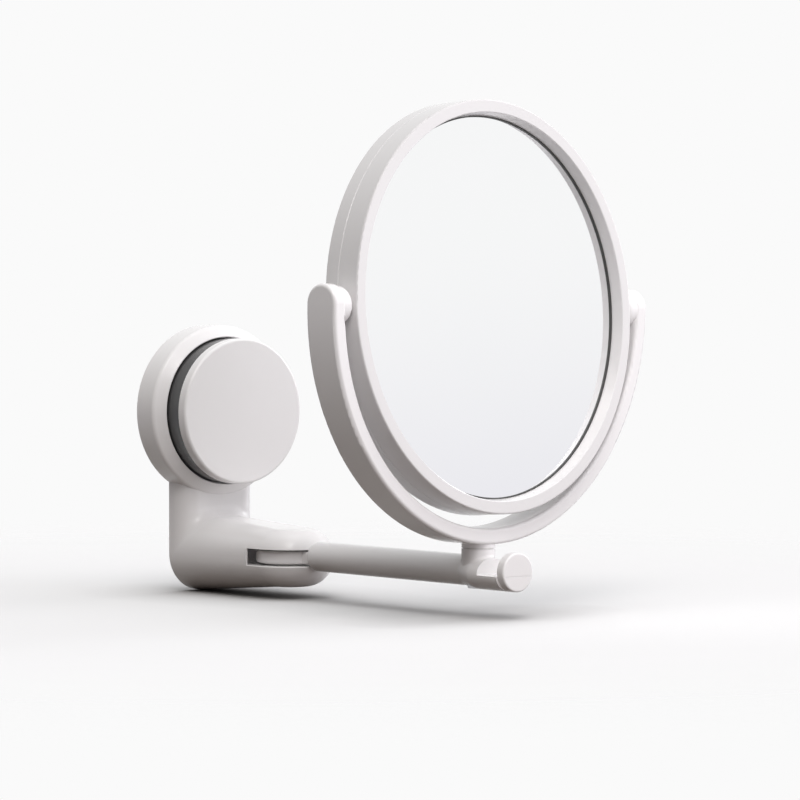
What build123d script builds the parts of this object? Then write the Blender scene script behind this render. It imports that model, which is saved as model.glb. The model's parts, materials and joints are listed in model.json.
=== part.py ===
from build123d import *
import os
from math import cos, pi, radians, sin, sqrt

os.makedirs("parts", exist_ok=True)

# Frame: the origin is the centre of the suction face, the wall is the plane Y = 0, +Z is up,
# and the mirror stands out from the wall towards -Y. "Depth" is the distance from the wall.
# All sizes are millimetres.

# Clearances
running_gap = 0.05
soft_gap = 0.3
assembly_gap = 0.1

# Suction pad and the bracket's round housing
pad_side_gap = 0.6
pad_rim = 1.6
pad_cone_radius = 14.0
pad_cone_height = 3.4
pad_boss_height = 5.0
pad_boss_wall = 2.3
foot_seat = 2.6
housing_radius = 37.4
housing_skirt = 1.6
housing_back = 0.5
housing_side_depth = 10.8
housing_edge_radius = 2.5
housing_edge_turn = 54.0
housing_rise = 5.3
housing_bore_edge = 0.35
foot_travel_gap = 0.25
housing_floor = 2.0
press_rib_width = 2.2
press_rib_inset = 3.0
housing_ring = 5.2

# Knob
knob_bore_gap = 0.35
drum_front = 23.5
drum_wall = 2.9
drum_web = 2.4
cap_thickness = 4.7
cap_edge_radius = 1.2
cap_face = 2.2
cap_spigot_wall = 2.0
cap_spigot_length = 4.0
drum_edge_inset = 0.15

# Draw stud and its nut
stud_radius = 4.0
stud_end_gap = 1.75
foot_radius = 8.0
foot_flat = 6.5
foot_thickness = 3.2
guide_wall = 2.4
thread_pitch = 1.5
knob_turns = 1.5
nut_flats = 13.0
nut_height = 6.4
hub_wall = 2.4
clip_thickness = 0.8
clip_radius = 6.2
groove_depth = 0.9
clip_land = 0.6
thrust_washer_thickness = 0.4

# Neck and barrel of the bracket
neck_half_width = 20.1
neck_depth = 12.0
neck_corner = 8.4
neck_blend = 5.0
barrel_wall_z = -62.6
barrel_wall_half_width = 20.1
barrel_wall_half_height = 17.0
barrel_wall_corner = 16.9
barrel_end_z = -62.0
barrel_end_half_width = 18.2
barrel_end_half_height = 12.6
barrel_end_corner = 11.5
bracket_wall = 2.6
core_depth = 41.0

# Back cover, its screws and the wall bumper
cover_top = -41.0
cover_inset = 1.5
cover_thickness = 1.6
cover_sunk = 0.2
cover_ledge = 1.3
screw_shank = 1.25
screw_head = 2.6
screw_length = 9.0
screw_boss = 3.6
upper_screw_z = -46.5
lower_screw_z = -73.0
bumper_radius = 7.0
bumper_stem = 2.4
bumper_barb = 0.7

# Hinge between barrel and arm
hinge_depth = 62.0
slot_height = 7.1
slot_drop = 0.75
slot_back = 8.0
slot_mouth_edge = 0.5
slot_lip_edge = 0.4
tongue_radius = 15.1
tongue_edge = 1.4
tongue_gap = 3.9
hinge_washer_thickness = 0.75
hinge_washer_radius = 11.0
hinge_screw_radius = 3.0
hinge_thread_radius = 2.5
hinge_head_radius = 4.6
hinge_head_height = 2.6
hinge_plug_radius = 5.1
hinge_plug_thickness = 1.5
insert_radius = 4.0
insert_length = 5.5

# Arm
arm_z = -60.7
arm_radius = 6.4
arm_bore = 4.4
arm_start_edge = 1.3
spigot_edge = 0.6
neck_bar_half_width = 5.1
tongue_spigot = 23.0
swivel_depth = 187.0
swivel_roll = 1.3
sleeve_radius = 6.5
sleeve_lead = 5.0
bar_lead = 3.0
bar_half_width = 8.5
bar_half_height = 6.5
bar_drop = 0.9
end_spigot = 18.0
collar_radius = 6.95
collar_top = 9.1
collar_blend = 1.5
hook_face_lead = 9.2
hook_cut_drop = 1.0
hook_length = 12.2
end_disc_radius = 8.05
end_disc_rise = 0.65
end_disc_thickness = 4.0
end_disc_edge = 0.8
end_disc_tenon = 2.2
end_disc_tenon_length = 6.0
end_disc_line = 0.4
end_disc_line_depth = 0.25

# Swivel between arm and yoke
swivel_washer_thickness = 0.4
swivel_washer_inset = 0.65
stem_spigot_radius = 3.5
stem_spigot_drop = 13.0
retainer_radius = 4.5
retainer_thickness = 0.6
retainer_recess = 4.7
retainer_screw_radius = 1.5
retainer_head_radius = 4.4
retainer_head_height = 2.7
retainer_screw_length = 8.5

# Yoke
yoke_clearance = 5.3
yoke_thickness = 6.6
yoke_width = 15.9
yoke_end_rise = 0.7
yoke_edge = 1.5
yoke_stem = 1.6
boss_radius = 7.8
boss_edge = 2.4
boss_gap = 0.5
pin_radius = 2.0
pin_in_yoke = 3.6
pin_end_gap = 0.3

# Mirror head, measured from the plane through the tilt pivots
swivel_rest = 8.5
tilt_rest = 4.1
rim_radius = 85.0
rim_half_depth = 8.6
rim_edge = 0.7
lip_width = 5.3
lip_edge = 0.3
lip_slope = 1.05
glass_recess = 5.5
lip_undercut = 1.3
lip_undercut_height = 0.35
magnifier_recess = 2.9
rim_wall = 4.4
seam_from_back = 6.9
seam_groove = 0.25
seam_tongue = 1.9
seam_tongue_height = 1.1
glass_thickness = 2.0
magnifier_sag = 3.0
board_thickness = 1.2
board_inset = 1.0
foam_width = 9.3
bush_radius = 2.9
tilt_washer_thickness = 0.4
tilt_washer_radius = 4.8

# Values that follow from those above
pad_boss_radius = foot_radius + soft_gap + pad_boss_wall
pad_radius = housing_radius - housing_skirt - pad_side_gap
press_rib_radius = pad_radius - press_rib_inset
housing_bore = housing_radius - housing_ring
knob_radius = housing_bore - knob_bore_gap
housing_front = housing_side_depth + housing_rise
stud_draw = thread_pitch * knob_turns
foot_top = foot_seat + foot_thickness
housing_floor_depth = foot_top + stud_draw + foot_travel_gap
floor_top = housing_floor_depth + housing_floor
drum_back = floor_top + thrust_washer_thickness
drum_radius = knob_radius - drum_edge_inset
drum_bore = drum_radius - drum_wall
nut_seat = drum_back + drum_web
hub_radius = nut_flats / sqrt(3) + hub_wall
cap_front = drum_front + cap_thickness
cap_under = cap_front - cap_face
stud_end = cap_under - stud_draw - stud_end_gap
cover_back = housing_back + cover_sunk
cover_front = cover_back + cover_thickness
tongue_z = arm_z - slot_drop
slot_top = tongue_z + slot_height / 2
slot_bottom = tongue_z - slot_height / 2
tongue_thickness = slot_height - 2 * hinge_washer_thickness
tongue_bottom = tongue_z - tongue_thickness / 2
tongue_top = tongue_z + tongue_thickness / 2
barrel_bottom = barrel_end_z - barrel_end_half_height
screw_head_base = barrel_bottom + hinge_plug_thickness + assembly_gap
screw_seat = screw_head_base + hinge_head_height
barrel_taper = (barrel_wall_half_width - barrel_end_half_width) / (hinge_depth - housing_back)
flank_half_width = barrel_end_half_width + barrel_taper * arm_radius
slot_chord = sqrt(arm_radius**2 - (slot_top - arm_z) ** 2)
cope_radius = sqrt((flank_half_width + running_gap) ** 2 + slot_chord**2)
arm_start = hinge_depth + cope_radius
sleeve_start = swivel_depth - sleeve_lead
hook_face = swivel_depth + hook_face_lead
hook_end = hook_face + hook_length
hook_floor = arm_z - hook_cut_drop
bar_start = swivel_depth + bar_lead
stem_seat = collar_top + swivel_washer_thickness
spigot_end = collar_top - stem_spigot_drop
yoke_inner = rim_radius + yoke_clearance
yoke_outer = yoke_inner + yoke_thickness
mirror_rise = stem_seat + yoke_stem + yoke_outer
boss_face = rim_radius + boss_gap
rim_bore = rim_radius - rim_wall
lip_inner = rim_radius - lip_width
glass_opening = lip_inner - lip_slope
seam = seam_from_back - rim_half_depth
glass_front = rim_half_depth - glass_recess
glass_back = glass_front - glass_thickness
glass_radius = rim_bore - 2 * assembly_gap
magnifier_edge = magnifier_recess - rim_half_depth
board_back = glass_back - board_thickness

# Working planes. In a section plane local X is the radius and local Y runs along the axis.
base_section = Plane(origin=(0, 0, 0), x_dir=(1, 0, 0), z_dir=(0, 0, -1))
base_axis = Axis((0, 0, 0), (0, -1, 0))
hinge_section = Plane(origin=(0, -hinge_depth, 0), x_dir=(1, 0, 0), z_dir=(0, -1, 0))
hinge_axis = Axis((0, -hinge_depth, 0), (0, 0, 1))
roll = radians(swivel_roll)
yaw = radians(swivel_rest)
pitch = radians(tilt_rest)
swivel_foot = Vector(0, -swivel_depth, arm_z)
upwards = Vector(sin(roll), 0, cos(roll))
swivel_section = Plane(origin=swivel_foot, x_dir=(cos(roll), 0, -sin(roll)), z_dir=(0, -1, 0))
swivel_axis = Axis(swivel_foot, upwards)
head_centre = swivel_foot + upwards * mirror_rise
glass_normal = Vector(sin(yaw) * cos(pitch), -cos(yaw) * cos(pitch), sin(pitch))
across = upwards.cross(glass_normal).normalized()
yoke_plane = Plane(origin=head_centre, x_dir=across, z_dir=across.cross(upwards))
head_plane = Plane(origin=head_centre, x_dir=across, z_dir=glass_normal)
head_section = Plane(origin=head_centre, x_dir=head_plane.y_dir, z_dir=head_plane.x_dir)
head_axis = Axis(head_centre, head_plane.z_dir)
pivot_axis = Axis(head_centre, across)
middle_plane = Plane(origin=head_centre, x_dir=upwards, z_dir=across)


def upright_plane(depth, height):
    """A plane parallel to the wall, facing away from it."""
    return Plane(origin=(0, -depth, height), x_dir=(1, 0, 0), z_dir=(0, -1, 0))


def swivel_plane(height):
    """A plane square to the swivel's axis, at a height above the arm's axis."""
    return Plane(origin=swivel_foot + upwards * height, x_dir=swivel_section.x_dir, z_dir=upwards)


def turned(section, axis, outline):
    """A piece turned about an axis from half its outline, as (radius, distance) points."""
    with BuildPart() as piece:
        with BuildSketch(section):
            with BuildLine():
                Polyline(*outline, close=True)
            make_face()
        revolve(axis=axis)
    return piece


def washer(section, axis, inner, outer, bottom, thickness):
    """A flat ring with its axis along the section plane's local Y."""
    top = bottom + thickness
    return turned(section, axis, [(inner, bottom), (outer, bottom), (outer, top), (inner, top)])


# Suction pad: a flat rubber disc with a thick centre that holds the foot of the draw stud
pocket_radius = foot_radius + soft_gap
suction_pad = turned(base_section, base_axis, [
    (0, 0),
    (pad_radius, 0),
    (pad_radius, pad_rim),
    (press_rib_radius - press_rib_width, pad_rim),
    (pad_cone_radius, pad_cone_height),
    (pad_boss_radius, pad_boss_height),
    (pocket_radius, pad_boss_height),
    (pocket_radius, foot_seat),
    (0, foot_seat),
])

# Bracket: round housing, neck and barrel in one moulding, cored out from the wall side
skirt_inner = housing_radius - housing_skirt
edge_turn = radians(housing_edge_turn)
ridge_radius = housing_radius - housing_edge_radius * (1 - cos(edge_turn))
ridge_depth = housing_side_depth + housing_edge_radius * sin(edge_turn)
rib_inner = press_rib_radius - press_rib_width / 2
rib_outer = press_rib_radius + press_rib_width / 2
with BuildPart() as base_housing:
    with BuildSketch(upright_plane(housing_back, barrel_wall_z)):
        RectangleRounded(2 * barrel_wall_half_width, 2 * barrel_wall_half_height, barrel_wall_corner)
    with BuildSketch(upright_plane(hinge_depth, barrel_end_z)):
        RectangleRounded(2 * barrel_end_half_width, 2 * barrel_end_half_height, barrel_end_corner)
    loft()
    with BuildSketch(upright_plane(hinge_depth, barrel_end_z)):
        RectangleRounded(2 * barrel_end_half_width, 2 * barrel_end_half_height, barrel_end_corner)
        with Locations((-barrel_end_half_width, 0)):
            Rectangle(2 * barrel_end_half_width, 4 * barrel_end_half_height, mode=Mode.SUBTRACT)
    revolve(axis=Axis((0, -hinge_depth, 0), (0, 0, -1)), revolution_arc=180)
    with BuildSketch(Plane.XY.offset(barrel_wall_z)):
        RectangleRounded(2 * neck_half_width, 2 * neck_depth, neck_corner)
        with Locations((0, neck_depth - housing_back)):
            Rectangle(4 * neck_half_width, 2 * neck_depth, mode=Mode.SUBTRACT)
    extrude(amount=-barrel_wall_z - housing_radius / 2)
    fillet(base_housing.edges(Select.NEW), neck_blend)
    with BuildSketch(Plane.XZ):
        Circle(housing_radius - housing_skirt / 2)
    extrude(amount=neck_depth * 2, mode=Mode.SUBTRACT)
    with BuildSketch(base_section):
        with BuildLine():
            Polyline(
                (housing_bore, housing_front),
                (housing_bore, floor_top),
                (stud_radius + soft_gap, floor_top),
                (stud_radius + soft_gap, housing_floor_depth),
                (rib_inner, housing_floor_depth),
                (rib_inner, pad_rim),
                (rib_outer, pad_rim),
                (rib_outer, housing_floor_depth),
                (skirt_inner, housing_floor_depth),
                (skirt_inner, housing_back),
                (housing_radius, housing_back),
                (housing_radius, housing_side_depth),
            )
            RadiusArc(
                (housing_radius, housing_side_depth), (ridge_radius, ridge_depth), -housing_edge_radius
            )
            TangentArc(
                (ridge_radius, ridge_depth),
                (housing_bore, housing_front),
                tangent=(-sin(edge_turn), cos(edge_turn)),
            )
        make_face()
        fillet(vertices().sort_by_distance((housing_bore, housing_front))[0], housing_bore_edge)
    revolve(axis=base_axis)
    with BuildSketch(upright_plane(pad_boss_height + soft_gap, 0)):
        Circle(foot_radius + soft_gap + guide_wall)
        Circle(foot_radius + soft_gap, mode=Mode.SUBTRACT)
    extrude(amount=housing_floor_depth - pad_boss_height - soft_gap)
    with BuildSketch(upright_plane(pad_boss_height + soft_gap, 0)):
        Circle(foot_radius + soft_gap)
        Rectangle(4 * foot_radius, 2 * (foot_flat + soft_gap), mode=Mode.SUBTRACT)
    extrude(amount=housing_floor_depth - pad_boss_height - soft_gap)
    # Cores of the neck and the barrel, and the ledge that the back cover sits on
    with BuildSketch(upright_plane(housing_back, barrel_wall_z)):
        RectangleRounded(
            2 * (barrel_wall_half_width - cover_inset - cover_ledge),
            2 * (barrel_wall_half_height - cover_inset - cover_ledge),
            barrel_wall_corner - cover_inset - cover_ledge,
        )
    with BuildSketch(upright_plane(core_depth, barrel_end_z)):
        RectangleRounded(
            2 * (barrel_end_half_width - bracket_wall),
            2 * (barrel_end_half_height - bracket_wall),
            barrel_end_corner - bracket_wall,
        )
    loft(mode=Mode.SUBTRACT)
    with BuildSketch(Plane.XY.offset(barrel_wall_z)):
        RectangleRounded(
            2 * (neck_half_width - cover_inset - cover_ledge),
            2 * (neck_depth - bracket_wall),
            neck_corner - bracket_wall,
        )
    extrude(amount=cover_top - cover_ledge - barrel_wall_z, mode=Mode.SUBTRACT)
    with BuildSketch(upright_plane(housing_back, 0)):
        with Locations((0, barrel_wall_z)):
            RectangleRounded(
                2 * (barrel_wall_half_width - cover_inset),
                2 * (barrel_wall_half_height - cover_inset),
                barrel_wall_corner - cover_inset,
            )
        with Locations((0, (cover_top + barrel_wall_z) / 2)):
            Rectangle(2 * (neck_half_width - cover_inset), cover_top - barrel_wall_z)
    extrude(amount=cover_front - housing_back, mode=Mode.SUBTRACT)
    # Bosses for the two cover screws
    with BuildSketch(upright_plane(cover_front, 0)):
        with Locations((0, upper_screw_z)):
            Circle(screw_boss)
    extrude(amount=neck_depth - bracket_wall / 2 - cover_front)
    with BuildSketch(upright_plane(cover_front, 0)):
        with Locations((0, lower_screw_z)):
            Circle(screw_boss)
        with Locations((0, lower_screw_z - screw_boss / 2)):
            Rectangle(2 * screw_boss, screw_boss)
    extrude(amount=screw_length + bracket_wall)
    with BuildSketch(upright_plane(cover_front, 0)):
        with Locations((0, upper_screw_z), (0, lower_screw_z)):
            Circle(screw_shank + running_gap)
    extrude(amount=screw_length - cover_thickness, mode=Mode.SUBTRACT)
    # Hinge slot: open to the front and both sides, round behind the arm's tongue
    with BuildSketch(Plane.XY.offset(slot_bottom)):
        with Locations((0, -hinge_depth)):
            Circle(tongue_radius + tongue_gap)
        with Locations((0, -hinge_depth + slot_back - hinge_depth / 2)):
            Rectangle(4 * barrel_end_half_width, hinge_depth)
    extrude(amount=slot_height, mode=Mode.SUBTRACT)
    slot_end_y = slot_back - hinge_depth
    upright_edges = (
        base_housing.edges()
        .filter_by_position(Axis.Y, slot_end_y - running_gap, slot_end_y + running_gap)
        .filter_by_position(Axis.Z, tongue_z - running_gap, tongue_z + running_gap)
        .sort_by(Axis.X)
    )
    chamfer([upright_edges[0], upright_edges[-1]], slot_mouth_edge)
    lip = base_housing.edges().filter_by(GeomType.BSPLINE)
    fillet(lip.filter_by_position(Axis.Z, slot_bottom - running_gap, slot_bottom + running_gap), slot_lip_edge)
    # Bores of the hinge screw, its insert and its plug
    with BuildSketch(Plane.XY.offset(barrel_wall_z - barrel_wall_half_height)):
        with Locations((0, -hinge_depth)):
            Circle(hinge_plug_radius + running_gap)
    extrude(amount=screw_seat - barrel_wall_z + barrel_wall_half_height, mode=Mode.SUBTRACT)
    with BuildSketch(Plane.XY.offset(screw_seat)):
        with Locations((0, -hinge_depth)):
            Circle(hinge_screw_radius + running_gap)
    extrude(amount=slot_bottom - screw_seat, mode=Mode.SUBTRACT)
    with BuildSketch(Plane.XY.offset(slot_top)):
        with Locations((0, -hinge_depth)):
            Circle(insert_radius + running_gap)
    extrude(amount=insert_length, mode=Mode.SUBTRACT)

# Back cover of the bracket, with countersunk screw holes and a hole for the bumper's stem
with BuildPart() as back_cover:
    with BuildSketch(upright_plane(cover_back, 0)):
        with Locations((0, barrel_wall_z)):
            RectangleRounded(
                2 * (barrel_wall_half_width - cover_inset - assembly_gap),
                2 * (barrel_wall_half_height - cover_inset - assembly_gap),
                barrel_wall_corner - cover_inset - assembly_gap,
            )
        with Locations((0, (cover_top - assembly_gap + barrel_wall_z) / 2)):
            Rectangle(
                2 * (neck_half_width - cover_inset - assembly_gap),
                cover_top - assembly_gap - barrel_wall_z,
            )
    extrude(amount=cover_thickness)
    with Locations(
        Location((0, -cover_back, upper_screw_z), (90, 0, 0)),
        Location((0, -cover_back, lower_screw_z), (90, 0, 0)),
    ):
        Cone(
            screw_head + running_gap,
            screw_shank + running_gap,
            cover_thickness,
            align=(Align.CENTER, Align.CENTER, Align.MIN),
            mode=Mode.SUBTRACT,
        )
    with BuildSketch(upright_plane(cover_back, barrel_wall_z)):
        Circle(bumper_stem + assembly_gap)
    extrude(amount=cover_thickness, mode=Mode.SUBTRACT)

# Cover screws: countersunk heads flush with the cover
with BuildPart() as cover_screws:
    for height in (upper_screw_z, lower_screw_z):
        with Locations(Location((0, -cover_back, height), (90, 0, 0))):
            Cone(screw_head, screw_shank, cover_thickness, align=(Align.CENTER, Align.CENTER, Align.MIN))
            Cylinder(screw_shank, screw_length - soft_gap, align=(Align.CENTER, Align.CENTER, Align.MIN))

# Rubber bumper that the lower end of the bracket leans on the wall with
stem_top = cover_front + bumper_barb
bumper_section = Plane(origin=(0, 0, barrel_wall_z), x_dir=(1, 0, 0), z_dir=(0, 0, -1))
wall_bumper = turned(bumper_section, Axis((0, 0, barrel_wall_z), (0, -1, 0)), [
    (0, 0),
    (bumper_radius, 0),
    (bumper_radius, cover_back),
    (bumper_stem, cover_back),
    (bumper_stem, cover_front),
    (bumper_stem + bumper_barb, cover_front),
    (bumper_stem, stem_top),
    (0, stem_top),
])

# Thrust washer that the knob turns on
thrust_washer = washer(
    base_section, base_axis, drum_bore, drum_radius - assembly_gap, floor_top, thrust_washer_thickness
)

# Knob: the dark drum with the hub of the nut, and the pale cap pressed into it
with BuildPart() as knob_drum:
    with BuildSketch(base_section):
        with BuildLine():
            Polyline(
                (stud_radius + soft_gap, drum_back),
                (drum_radius, drum_back),
                (drum_radius, drum_front),
                (drum_bore, drum_front),
                (drum_bore, nut_seat),
                (hub_radius, nut_seat),
                (hub_radius, nut_seat + nut_height),
                (stud_radius + soft_gap, nut_seat + nut_height),
                close=True,
            )
        make_face()
    revolve(axis=base_axis)
    with BuildSketch(upright_plane(nut_seat, 0)):
        RegularPolygon(nut_flats / 2 + running_gap, 6, major_radius=False)
    extrude(amount=nut_height, mode=Mode.SUBTRACT)

with BuildPart() as knob_cap:
    with BuildSketch(base_section):
        with BuildLine():
            Polyline(
                (0, cap_under),
                (drum_bore - running_gap - cap_spigot_wall, cap_under),
                (drum_bore - running_gap - cap_spigot_wall, drum_front - cap_spigot_length),
                (drum_bore - running_gap, drum_front - cap_spigot_length),
                (drum_bore - running_gap, drum_front),
                (knob_radius, drum_front),
                (knob_radius, cap_front - cap_edge_radius),
            )
            RadiusArc(
                (knob_radius, cap_front - cap_edge_radius),
                (knob_radius - cap_edge_radius, cap_front),
                -cap_edge_radius,
            )
            Polyline((knob_radius - cap_edge_radius, cap_front), (0, cap_front), (0, cap_under))
        make_face()
    revolve(axis=base_axis)

with BuildPart() as knob_nut:
    with BuildSketch(upright_plane(nut_seat, 0)):
        RegularPolygon(nut_flats / 2, 6, major_radius=False)
        Circle(stud_radius + running_gap, mode=Mode.SUBTRACT)
    extrude(amount=nut_height)

# Draw stud: a foot with two flats, held from turning by the housing, and a clip at its end
groove_top = stud_end - clip_land
groove_radius = stud_radius - groove_depth
with BuildPart() as draw_stud:
    with BuildSketch(upright_plane(foot_seat, 0)):
        Circle(foot_radius)
        Rectangle(2 * foot_radius, 2 * foot_flat, mode=Mode.INTERSECT)
    extrude(amount=foot_thickness)
    with BuildSketch(upright_plane(foot_top, 0)):
        Circle(stud_radius)
    extrude(amount=stud_end - foot_top)
    with BuildSketch(upright_plane(groove_top - clip_thickness, 0)):
        Circle(stud_radius)
        Circle(groove_radius, mode=Mode.SUBTRACT)
    extrude(amount=clip_thickness, mode=Mode.SUBTRACT)
    chamfer(draw_stud.faces().sort_by(Axis.Y)[0].edges(), clip_land / 2)

with BuildPart() as stud_clip:
    with BuildSketch(upright_plane(groove_top - clip_thickness, 0)):
        Circle(clip_radius)
        Circle(groove_radius + running_gap, mode=Mode.SUBTRACT)
        with Locations((0, -clip_radius / 2)):
            Rectangle(2 * (groove_radius - groove_depth), clip_radius + groove_depth, mode=Mode.SUBTRACT)
    extrude(amount=clip_thickness)

# Hinge: shoulder screw from below, brass insert, plug and two washers
hinge_screw = turned(hinge_section, hinge_axis, [
    (0, screw_head_base),
    (hinge_head_radius, screw_head_base),
    (hinge_head_radius, screw_seat),
    (hinge_screw_radius, screw_seat),
    (hinge_screw_radius, slot_top),
    (hinge_thread_radius, slot_top),
    (hinge_thread_radius, slot_top + insert_length - soft_gap),
    (0, slot_top + insert_length - soft_gap),
])
hinge_insert = washer(
    hinge_section, hinge_axis, hinge_thread_radius + running_gap, insert_radius, slot_top, insert_length
)
hinge_plug = washer(hinge_section, hinge_axis, 0, hinge_plug_radius, barrel_bottom, hinge_plug_thickness)
with BuildPart() as hinge_washers:
    with BuildSketch(Plane.XY.offset(slot_bottom), Plane.XY.offset(slot_top - hinge_washer_thickness)):
        with Locations((0, -hinge_depth)):
            Circle(hinge_washer_radius)
            Circle(hinge_screw_radius + running_gap, mode=Mode.SUBTRACT)
    extrude(amount=hinge_washer_thickness)

# Arm tongue: a flat eye on the hinge screw, a short bar, and a spigot inside the tube
with BuildPart() as cope:
    with BuildSketch(Plane.XY.offset(arm_z - arm_radius)):
        with Locations((0, -hinge_depth)):
            Circle(cope_radius)
    extrude(amount=2 * arm_radius)
with BuildPart() as tongue_bar:
    with BuildSketch(upright_plane(hinge_depth + tongue_radius / 2, tongue_z)):
        RectangleRounded(2 * neck_bar_half_width, tongue_thickness, tongue_edge)
    extrude(amount=cope_radius)
    add(cope, mode=Mode.INTERSECT)
with BuildPart() as arm_tongue:
    with BuildSketch(upright_plane(hinge_depth, arm_z)):
        Circle(arm_bore - running_gap)
    extrude(amount=arm_start + tongue_spigot - hinge_depth)
    chamfer(arm_tongue.faces().sort_by(Axis.Y)[0].edges(), spigot_edge)
    add(cope, mode=Mode.SUBTRACT)
    add(tongue_bar)
    with BuildSketch(hinge_section):
        with BuildLine():
            Polyline(
                (tongue_radius - tongue_edge, tongue_top),
                (hinge_screw_radius + running_gap, tongue_top),
                (hinge_screw_radius + running_gap, tongue_bottom),
                (tongue_radius - tongue_edge, tongue_bottom),
            )
            RadiusArc(
                (tongue_radius - tongue_edge, tongue_bottom),
                (tongue_radius, tongue_bottom + tongue_edge),
                -tongue_edge,
            )
            Line((tongue_radius, tongue_bottom + tongue_edge), (tongue_radius, tongue_top - tongue_edge))
            RadiusArc(
                (tongue_radius, tongue_top - tongue_edge),
                (tongue_radius - tongue_edge, tongue_top),
                -tongue_edge,
            )
        make_face()
    revolve(axis=hinge_axis)

# Arm tube, coped to the barrel's round end, with a rounded rim there
with BuildPart() as arm_tube:
    with BuildSketch(upright_plane(hinge_depth, arm_z)):
        Circle(arm_radius)
        Circle(arm_bore, mode=Mode.SUBTRACT)
    extrude(amount=sleeve_start - hinge_depth)
    add(cope, mode=Mode.SUBTRACT)
    coped_end = arm_tube.faces().sort_by(Axis.Y)[-1]
    fillet(coped_end.edges().sort_by(SortBy.LENGTH)[-1], arm_start_edge)

# Arm end: sleeve, upright collar of the swivel, and the flattened bar of the hook beyond it
bar_z = arm_z - bar_drop
with BuildPart() as arm_end_fitting:
    with BuildSketch(upright_plane(sleeve_start, arm_z)):
        Circle(sleeve_radius)
    with BuildSketch(upright_plane(bar_start, bar_z)):
        Ellipse(bar_half_width, bar_half_height)
    loft()
    with BuildSketch(upright_plane(bar_start, bar_z)):
        Ellipse(bar_half_width, bar_half_height)
    extrude(amount=hook_end - bar_start)
    with BuildSketch(swivel_plane(0)):
        Circle(collar_radius)
    extrude(amount=collar_top)
    blend_top = arm_z + collar_top - collar_blend
    fillet(
        [edge for edge in arm_end_fitting.edges(Select.NEW) if edge.bounding_box().max.Z < blend_top],
        collar_blend,
    )
    # The collar reaches over the tube's end as a saddle
    with BuildSketch(upright_plane(sleeve_start - collar_radius, arm_z)):
        Circle(arm_radius + running_gap)
    extrude(amount=collar_radius, mode=Mode.SUBTRACT)
    with BuildSketch(upright_plane(hook_face, hook_floor + bar_half_width)):
        Rectangle(4 * bar_half_width, 2 * bar_half_width)
    extrude(amount=hook_length, mode=Mode.SUBTRACT)
    with BuildSketch(upright_plane(sleeve_start - end_spigot, arm_z)):
        Circle(arm_bore - running_gap)
    extrude(amount=end_spigot)
    with BuildSketch(swivel_plane(spigot_end - assembly_gap)):
        Circle(stem_spigot_radius + running_gap)
    extrude(amount=stem_spigot_drop + assembly_gap, mode=Mode.SUBTRACT)
    with BuildSketch(swivel_plane(spigot_end + assembly_gap)):
        Circle(retainer_recess)
    extrude(amount=-2 * bar_half_width, mode=Mode.SUBTRACT)
    tenon_z = (hook_floor + bar_z - bar_half_height) / 2
    with BuildSketch(upright_plane(hook_end - end_disc_tenon_length, tenon_z)):
        Circle(end_disc_tenon + running_gap)
    extrude(amount=end_disc_tenon_length, mode=Mode.SUBTRACT)

# End disc of the hook, with a fine line scribed across its face level with the hook's floor
disc_face = hook_end + end_disc_thickness
with BuildPart() as hook_end_disc:
    with BuildSketch(upright_plane(hook_end, arm_z + end_disc_rise)):
        Circle(end_disc_radius)
    extrude(amount=end_disc_thickness)
    fillet(hook_end_disc.faces().sort_by(Axis.Y)[0].edges(), end_disc_edge)
    with BuildSketch(upright_plane(disc_face - end_disc_line_depth, hook_floor)):
        Rectangle(2 * end_disc_radius, end_disc_line)
    extrude(amount=end_disc_line_depth, mode=Mode.SUBTRACT)
    with BuildSketch(upright_plane(hook_end - end_disc_tenon_length + soft_gap, tenon_z)):
        Circle(end_disc_tenon)
    extrude(amount=end_disc_tenon_length - soft_gap)

# Swivel: washer under the yoke's stem, and the retaining washer and screw below
swivel_washer = washer(
    swivel_section,
    swivel_axis,
    stem_spigot_radius + running_gap,
    collar_radius - swivel_washer_inset,
    collar_top,
    swivel_washer_thickness,
)
retainer_washer = washer(
    swivel_section,
    swivel_axis,
    retainer_screw_radius + running_gap,
    retainer_radius,
    spigot_end - retainer_thickness,
    retainer_thickness,
)
retainer_base = spigot_end - retainer_thickness
retainer_screw = turned(swivel_section, swivel_axis, [
    (0, retainer_base - retainer_head_height),
    (retainer_head_radius, retainer_base - retainer_head_height),
    (retainer_head_radius, retainer_base),
    (retainer_screw_radius, retainer_base),
    (retainer_screw_radius, retainer_base + retainer_screw_length),
    (0, retainer_base + retainer_screw_length),
])

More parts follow.
